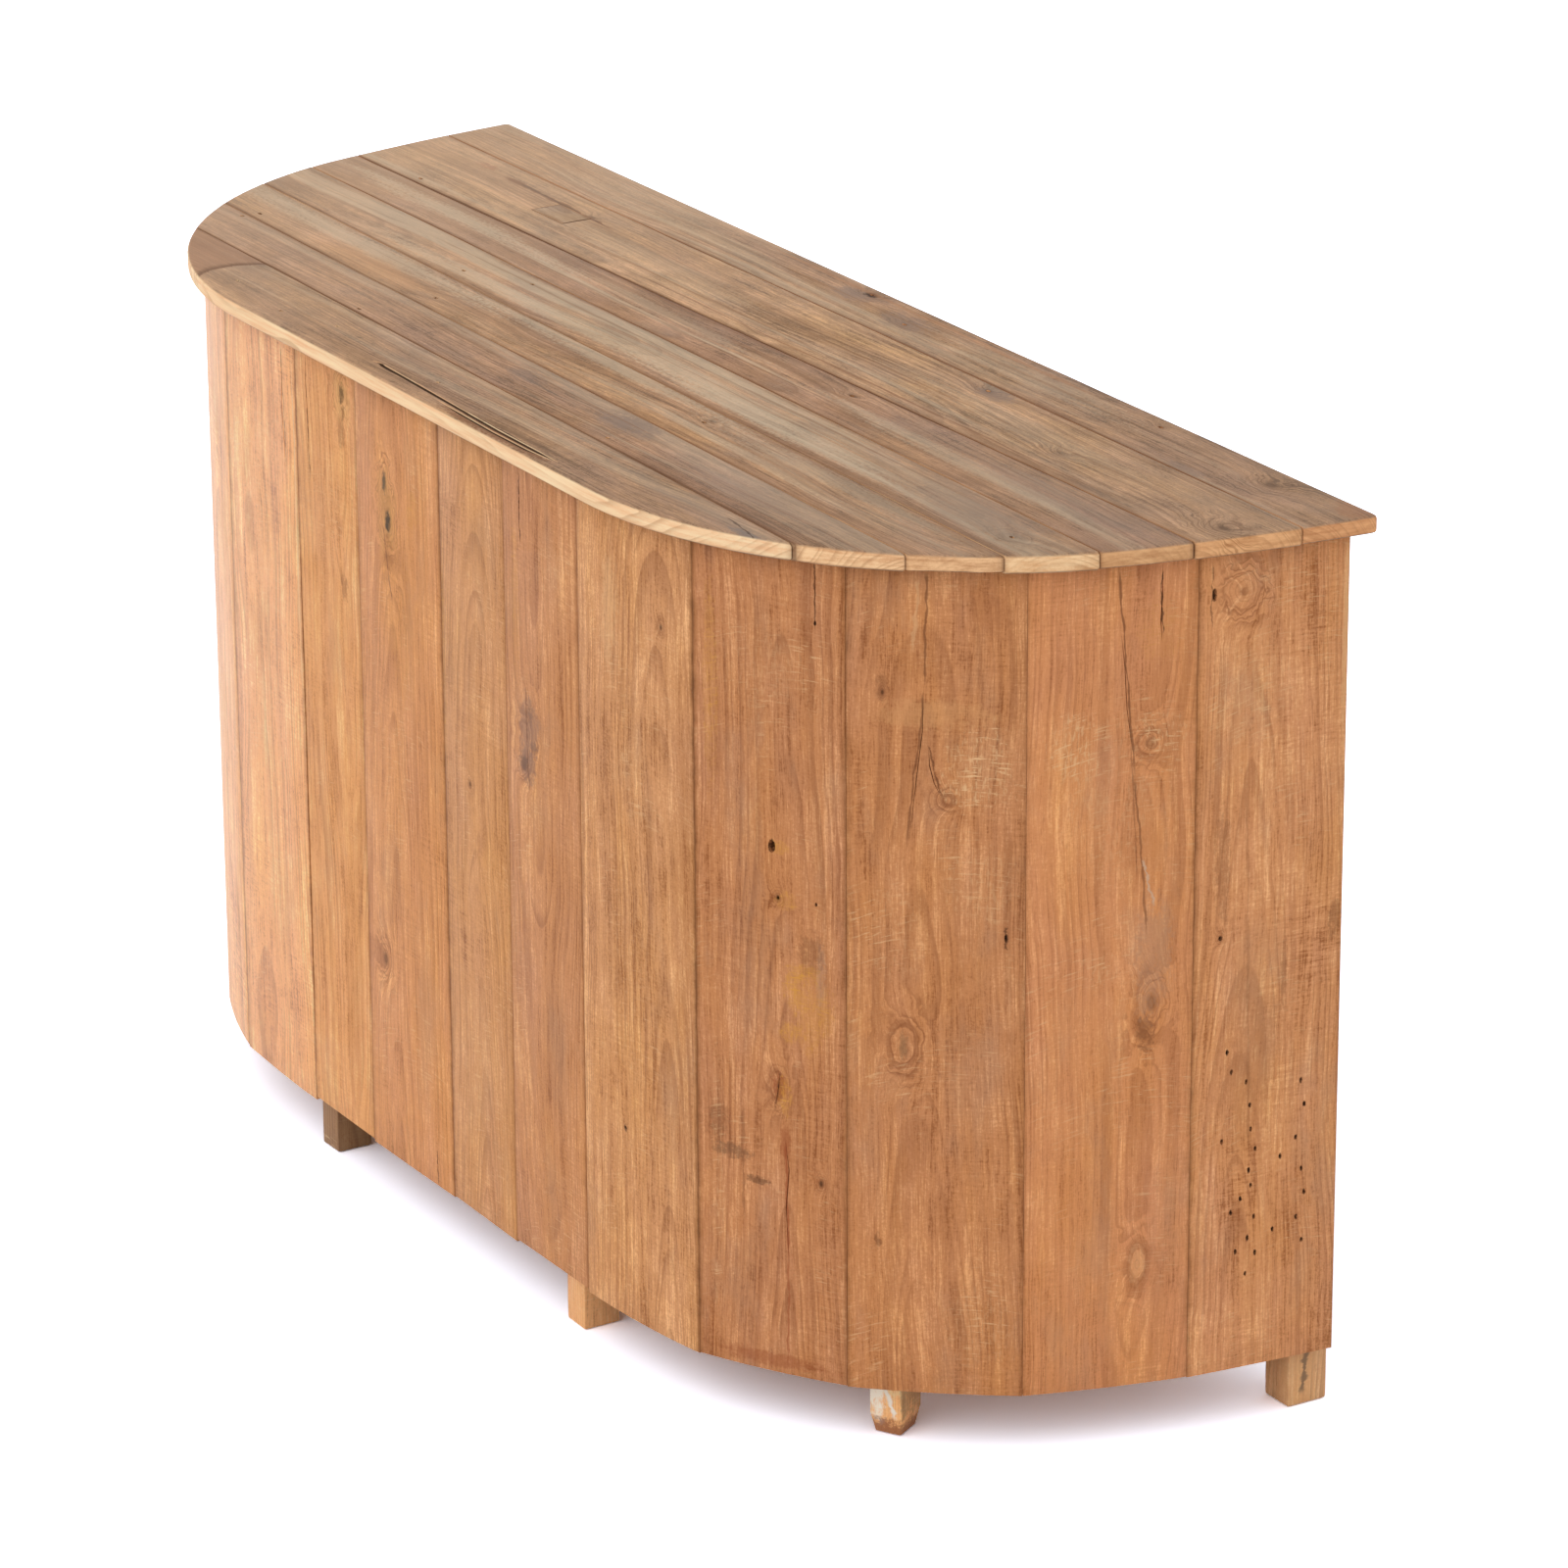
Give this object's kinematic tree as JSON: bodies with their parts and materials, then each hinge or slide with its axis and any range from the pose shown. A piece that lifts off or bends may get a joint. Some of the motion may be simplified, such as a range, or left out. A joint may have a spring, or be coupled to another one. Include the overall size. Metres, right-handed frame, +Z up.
{
  "type": "bar cabinet",
  "caption": "Free-standing bar cabinet with a D-shaped plank top, a curved wall of upright boards on short post feet, and doors and shelves on the service side.",
  "frame": {"origin": "on the floor, under the middle of the top's bounding box", "axes": "+Z up, +X along the counter, the customer's curved side faces -Y, the service side +Y"},
  "size_m": [1.9984, 0.7, 1.095],
  "materials": {
    "top_wood": "sanded, weathered",
    "patch_wood": "sanded",
    "stave_wood": "sanded, waxed",
    "post_wood": "worn, paint remains",
    "frame_wood": "sawn",
    "door_wood": "sanded, waxed",
    "knob_wood": "turned, waxed",
    "hinge_steel": "dull steel"
  },
  "bodies": {
    "carcass": {"back_left_post": "post_wood", "back_right_post": "post_wood", "back_top_rail": "frame_wood", "centre_shelf": "frame_wood", "corner_left_post": "post_wood", "corner_right_post": "post_wood", "deck_bearers": "frame_wood", "deck_board_1": "frame_wood", "deck_board_2": "frame_wood", "deck_board_3": "frame_wood", "deck_board_4": "frame_wood", "frame_hinge_leaves": "hinge_steel", "front_left_post": "post_wood", "front_right_post": "post_wood", "hinge_pins": "hinge_steel", "left_door_post": "post_wood", "left_partition": "frame_wood", "left_shelf": "frame_wood", "right_door_post": "post_wood", "right_partition": "frame_wood", "right_shelf": "frame_wood", "shelf_cleats": "frame_wood", "stave_01": "stave_wood", "stave_02": "stave_wood", "stave_03": "stave_wood", "stave_04": "stave_wood", "stave_05": "stave_wood", "stave_06": "stave_wood", "stave_07": "stave_wood", "stave_08": "stave_wood", "stave_09": "stave_wood", "stave_10": "stave_wood", "stave_11": "stave_wood", "stave_12": "stave_wood", "stave_13": "stave_wood", "stave_14": "stave_wood", "stave_15": "stave_wood", "top_bearers": "frame_wood", "top_patch": "patch_wood", "top_plank_1": "top_wood", "top_plank_2": "top_wood", "top_plank_3": "top_wood", "top_plank_4": "top_wood", "top_plank_5": "top_wood", "top_plank_6": "top_wood", "top_plank_7": "top_wood", "upper_front_rail": "frame_wood", "upper_left_end_rib": "frame_wood", "upper_left_front_rib": "frame_wood", "upper_right_end_rib": "frame_wood", "upper_right_front_rib": "frame_wood"},
    "left_door": {"left_door_boards": "door_wood", "left_door_hinge_leaves": "hinge_steel", "left_door_ledges": "door_wood", "left_knob": "knob_wood"},
    "right_door": {"right_door_boards": "door_wood", "right_door_hinge_leaves": "hinge_steel", "right_door_ledges": "door_wood", "right_knob": "knob_wood"}
  },
  "joints": [
    {"name": "left_door_hinge", "type": "hinge", "parent": "carcass", "child": "left_door", "pos_m": [-0.9084, 0.3294, 0.564], "axis": [0, 0, 1], "range_deg": [0, 170]},
    {"name": "right_door_hinge", "type": "hinge", "parent": "carcass", "child": "right_door", "pos_m": [0.9084, 0.3294, 0.564], "axis": [0, 0, -1], "range_deg": [0, 170]}
  ]
}
